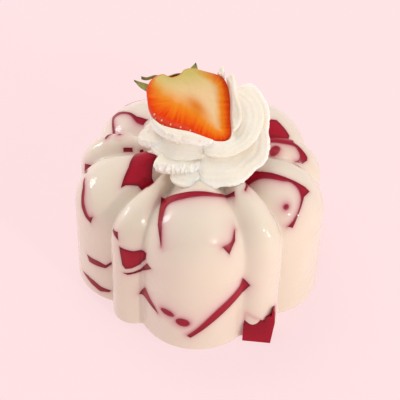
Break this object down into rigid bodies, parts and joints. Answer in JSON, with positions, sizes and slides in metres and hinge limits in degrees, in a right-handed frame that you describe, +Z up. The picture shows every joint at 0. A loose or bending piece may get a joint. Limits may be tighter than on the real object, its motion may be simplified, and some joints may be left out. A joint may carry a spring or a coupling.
{
  "type": "moulded jelly",
  "caption": "Fluted moulded milk jelly with cubes of red fruit jelly set into it, topped with a piped whipped-cream rosette and half a strawberry.",
  "frame": {"origin": "on the flat base, on the axis of the mould", "axes": "+Z up along the axis of the mould, -Y towards the front wide lobe, +X to the right of it"},
  "size_m": [0.095, 0.1002, 0.0893],
  "materials": {
    "milk_jelly": "wet, slightly translucent gloss",
    "red_jelly": "wet, translucent gloss",
    "whipped_cream": "soft matt",
    "strawberry": "moist, pale and streaked on the cut face",
    "strawberry_leaf": "matt"
  },
  "bodies": {
    "root": {"milk_jelly": "milk_jelly", "red_front_upper": "red_jelly", "red_front_lower": "red_jelly", "red_foot": "red_jelly", "red_right_upper": "red_jelly", "red_left_top_patch": "red_jelly", "red_back_left_upper": "red_jelly", "red_slit": "red_jelly", "red_left_edge": "red_jelly", "red_left_groove": "red_jelly", "red_left_wedge": "red_jelly", "red_left_foot": "red_jelly", "red_groove_wedge": "red_jelly", "red_front_left_patch": "red_jelly", "red_front_left_sliver": "red_jelly", "red_back_right_groove": "red_jelly", "red_back_right_wall": "red_jelly", "red_back_upper": "red_jelly", "red_back_lower": "red_jelly", "red_back_groove": "red_jelly", "red_back_foot": "red_jelly", "whipped_cream": "whipped_cream", "strawberry_half": "strawberry", "leaf_left": "strawberry_leaf", "leaf_far_left": "strawberry_leaf", "leaf_middle": "strawberry_leaf", "leaf_top": "strawberry_leaf"}
  },
  "joints": []
}
